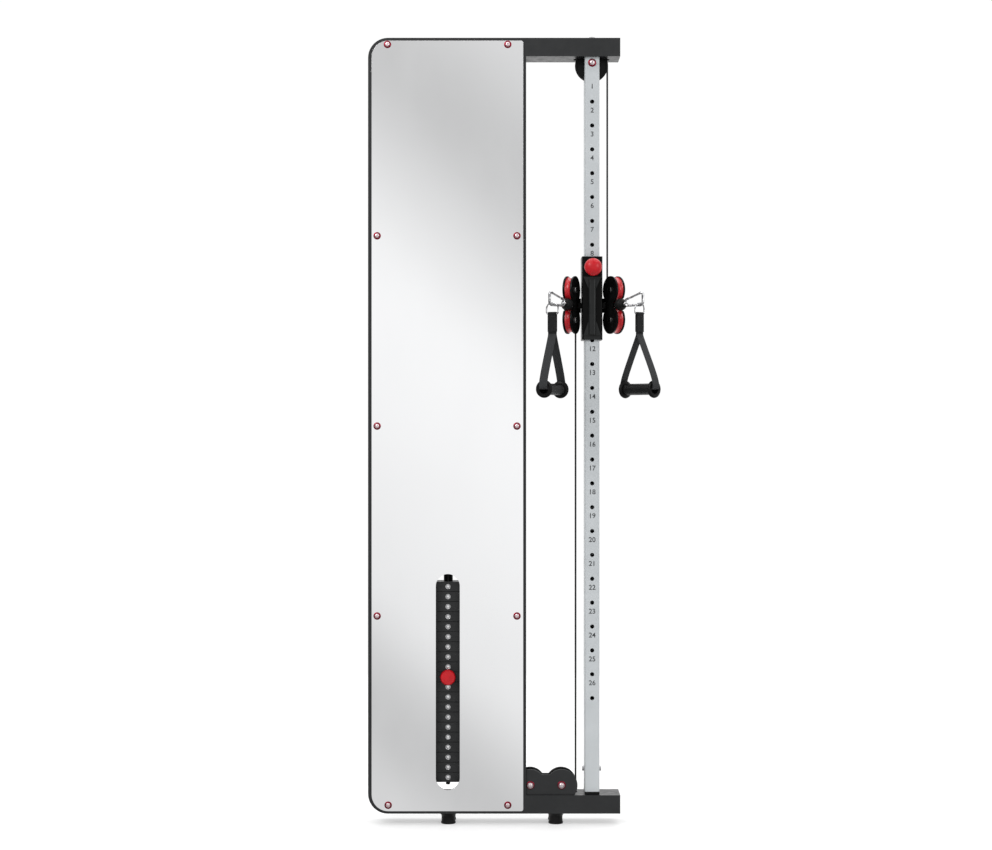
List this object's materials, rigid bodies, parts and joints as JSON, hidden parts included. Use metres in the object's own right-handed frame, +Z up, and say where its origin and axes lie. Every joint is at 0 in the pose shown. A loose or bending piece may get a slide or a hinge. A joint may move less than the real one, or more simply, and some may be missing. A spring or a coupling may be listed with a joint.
{
  "type": "functional trainer",
  "caption": "Slim mirrored cable trainer: a weight tower with two arms carries a drilled column, and a height-adjustable carriage guides two cable handles.",
  "frame": {"origin": "floor point under the middle of the whole object's box", "axes": "+X to the right seen from the front, +Y towards the wall, +Z up"},
  "size_m": [0.7913, 0.2276, 2.146],
  "materials": {
    "frame_black": "fine textured powder coat",
    "column_silver": "satin silver powder coat",
    "mirror": "polished",
    "plate_black": "satin black",
    "zinc": "bright",
    "red_plastic": "satin red",
    "black_plastic": "moulded black",
    "rubber": "matt",
    "webbing": "woven nylon",
    "cable_coat": "smooth nylon coat"
  },
  "bodies": {
    "frame": {"base_pulley_plates": "frame_black", "bottom_beam": "frame_black", "cable_column_left": "cable_coat", "cable_column_right": "cable_coat", "cable_over_top": "cable_coat", "cable_stack_runs": "cable_coat", "cable_through_post": "cable_coat", "column_tube": "column_silver", "corner_bends": "frame_black", "end_blocks": "black_plastic", "frame_bolts": "zinc", "guide_rods": "zinc", "left_post": "frame_black", "levelling_feet": "rubber", "mirror_panel": "mirror", "mirror_screws": "zinc", "pulley_hangers": "frame_black", "red_washers": "red_plastic", "resting_plates": "plate_black", "right_post": "frame_black", "rod_crossbar": "frame_black", "stack_cushions": "rubber", "top_beam": "frame_black", "wall_brackets": "frame_black"},
    "stack": {"lifted_plates": "plate_black", "selector_rod": "plate_black", "lift_fork": "frame_black", "cable_lift_loop": "cable_coat"},
    "selector_pin": {"selector_pin": "zinc", "selector_knob": "red_plastic"},
    "lift_pulley": {"lift_pulley": "black_plastic"},
    "top_pulley": {"top_pulley": "black_plastic"},
    "tower_pulley_left": {"tower_pulley_left": "black_plastic"},
    "tower_pulley_middle": {"tower_pulley_middle": "black_plastic"},
    "tower_pulley_right": {"tower_pulley_right": "black_plastic"},
    "base_pulley_inner": {"base_pulley_inner": "black_plastic"},
    "base_pulley_outer": {"base_pulley_outer": "black_plastic"},
    "carriage": {"carriage_sleeve": "frame_black", "swivel_bolts": "zinc"},
    "plunger": {"plunger_knob": "red_plastic"},
    "swivel_left": {"swivel_left": "frame_black", "cable_lead_left": "cable_coat"},
    "wheel_upper_left": {"wheel_upper_left": "red_plastic"},
    "wheel_lower_left": {"wheel_lower_left": "red_plastic"},
    "cable_end_left": {"cable_end_left": "rubber", "carabiner_left": "zinc"},
    "gate_left": {"carabiner_gate_left": "zinc"},
    "handle_left": {"d_ring_left": "zinc", "strap_left": "webbing"},
    "grip_left": {"grip_left": "black_plastic"},
    "swivel_right": {"swivel_right": "frame_black", "cable_lead_right": "cable_coat"},
    "wheel_upper_right": {"wheel_upper_right": "red_plastic"},
    "wheel_lower_right": {"wheel_lower_right": "red_plastic"},
    "cable_end_right": {"cable_end_right": "rubber", "carabiner_right": "zinc"},
    "gate_right": {"carabiner_gate_right": "zinc"},
    "handle_right": {"d_ring_right": "zinc", "strap_right": "webbing"},
    "grip_right": {"grip_right": "black_plastic"}
  },
  "joints": [
    {"name": "stack_lift", "type": "slide", "parent": "frame", "child": "stack", "axis": [0, 0, 1], "range_m": [0, 1], "deforming": ["cable_stack_runs"]},
    {"name": "selector_pull", "type": "slide", "parent": "stack", "child": "selector_pin", "axis": [0, 1, 0], "range_m": [-0.08, 0]},
    {"name": "lift_pulley_spin", "type": "hinge", "parent": "stack", "child": "lift_pulley", "pos_m": [-0.184, 0.071, 0.765], "axis": [0, 1, 0], "continuous": true},
    {"name": "top_pulley_spin", "type": "hinge", "parent": "frame", "child": "top_pulley", "pos_m": [0.209, 0.071, 2.074], "axis": [0, 1, 0], "continuous": true},
    {"name": "tower_pulley_left_spin", "type": "hinge", "parent": "frame", "child": "tower_pulley_left", "pos_m": [-0.184, 0.071, 2.076], "axis": [0, 1, 0], "continuous": true},
    {"name": "tower_pulley_middle_spin", "type": "hinge", "parent": "frame", "child": "tower_pulley_middle", "pos_m": [-0.1135, 0.071, 2.048], "axis": [0, 1, 0], "continuous": true},
    {"name": "tower_pulley_right_spin", "type": "hinge", "parent": "frame", "child": "tower_pulley_right", "pos_m": [-0.0285, 0.071, 2.048], "axis": [0, 1, 0], "continuous": true},
    {"name": "base_pulley_inner_spin", "type": "hinge", "parent": "frame", "child": "base_pulley_inner", "pos_m": [0.0405, 0.071, 0.106], "axis": [0, 1, 0], "continuous": true},
    {"name": "base_pulley_outer_spin", "type": "hinge", "parent": "frame", "child": "base_pulley_outer", "pos_m": [0.1255, 0.071, 0.106], "axis": [0, 1, 0], "continuous": true},
    {"name": "carriage_slide", "type": "slide", "parent": "frame", "child": "carriage", "axis": [0, 0, 1], "range_m": [-0.975, 0.455], "deforming": ["cable_column_right", "cable_column_left"]},
    {"name": "plunger_pull", "type": "slide", "parent": "carriage", "child": "plunger", "axis": [0, -1, 0], "range_m": [0, 0.012], "stiffness_N_per_m": 1500, "springref_m": -0.004},
    {"name": "swivel_left_turn", "type": "hinge", "parent": "carriage", "child": "swivel_left", "pos_m": [0.1655, 0.071, 1.4145], "axis": [0, 0, 1], "range_deg": [-12, 16]},
    {"name": "wheel_upper_left_spin", "type": "hinge", "parent": "swivel_left", "child": "wheel_upper_left", "pos_m": [0.15278, 0.03786, 1.4555], "axis": [-0.9336, 0.3584, 0], "continuous": true},
    {"name": "wheel_lower_left_spin", "type": "hinge", "parent": "swivel_left", "child": "wheel_lower_left", "pos_m": [0.15278, 0.03786, 1.3735], "axis": [-0.9336, 0.3584, 0], "continuous": true},
    {"name": "cable_pull_left", "type": "slide", "parent": "swivel_left", "child": "cable_end_left", "axis": [-0.3584, -0.9336, 0], "range_m": [0, 1]},
    {"name": "gate_left_open", "type": "hinge", "parent": "cable_end_left", "child": "gate_left", "pos_m": [0.12402, -0.02488, 1.42905], "axis": [0.6428, -0.766, 0], "range_deg": [0, 25], "stiffness_Nm_per_rad": 0.4, "springref_deg": -11.46},
    {"name": "handle_left_swing", "type": "hinge", "parent": "cable_end_left", "child": "handle_left", "pos_m": [0.09874, -0.04609, 1.4102], "axis": [-0.4226, -0.9063, 0], "range_deg": [-8, 25]},
    {"name": "grip_left_spin", "type": "hinge", "parent": "handle_left", "child": "grip_left", "pos_m": [0.09874, -0.04609, 1.1832], "axis": [-0.4226, -0.9063, 0], "continuous": true},
    {"name": "swivel_right_turn", "type": "hinge", "parent": "carriage", "child": "swivel_right", "pos_m": [0.2525, 0.071, 1.4145], "axis": [0, 0, 1], "range_deg": [-23, 67]},
    {"name": "wheel_upper_right_spin", "type": "hinge", "parent": "swivel_right", "child": "wheel_upper_right", "pos_m": [0.26917, 0.03966, 1.4555], "axis": [-0.8829, -0.4695, 0], "continuous": true},
    {"name": "wheel_lower_right_spin", "type": "hinge", "parent": "swivel_right", "child": "wheel_lower_right", "pos_m": [0.26917, 0.03966, 1.3735], "axis": [-0.8829, -0.4695, 0], "continuous": true},
    {"name": "cable_pull_right", "type": "slide", "parent": "swivel_right", "child": "cable_end_right", "axis": [0.4695, -0.8829, 0], "range_m": [0, 1]},
    {"name": "gate_right_open", "type": "hinge", "parent": "cable_end_right", "child": "gate_right", "pos_m": [0.3056, -0.0187, 1.42905], "axis": [0.5, 0.866, 0], "range_deg": [0, 25], "stiffness_Nm_per_rad": 0.4, "springref_deg": -11.46},
    {"name": "handle_right_swing", "type": "hinge", "parent": "cable_end_right", "child": "handle_right", "pos_m": [0.33418, -0.0352, 1.4102], "axis": [0.6561, -0.7547, 0], "range_deg": [-25, 25]},
    {"name": "grip_right_spin", "type": "hinge", "parent": "handle_right", "child": "grip_right", "pos_m": [0.33418, -0.0352, 1.1832], "axis": [0.6561, -0.7547, 0], "continuous": true}
  ],
  "couplings": [
    {"joint": "top_pulley_spin", "follows": "stack_lift", "rad_per_m": 22.988},
    {"joint": "tower_pulley_left_spin", "follows": "stack_lift", "rad_per_m": 24.096},
    {"joint": "tower_pulley_middle_spin", "follows": "stack_lift", "rad_per_m": 34.483},
    {"joint": "tower_pulley_right_spin", "follows": "stack_lift", "rad_per_m": 34.483},
    {"joint": "base_pulley_inner_spin", "follows": "stack_lift", "rad_per_m": -25},
    {"joint": "base_pulley_outer_spin", "follows": "stack_lift", "rad_per_m": -25},
    {"joint": "wheel_lower_left_spin", "follows": "stack_lift", "rad_per_m": -28.169},
    {"joint": "cable_pull_left", "follows": "stack_lift", "ratio": 1},
    {"joint": "wheel_upper_right_spin", "follows": "stack_lift", "rad_per_m": 28.169},
    {"joint": "cable_pull_right", "follows": "stack_lift", "ratio": 1}
  ]
}
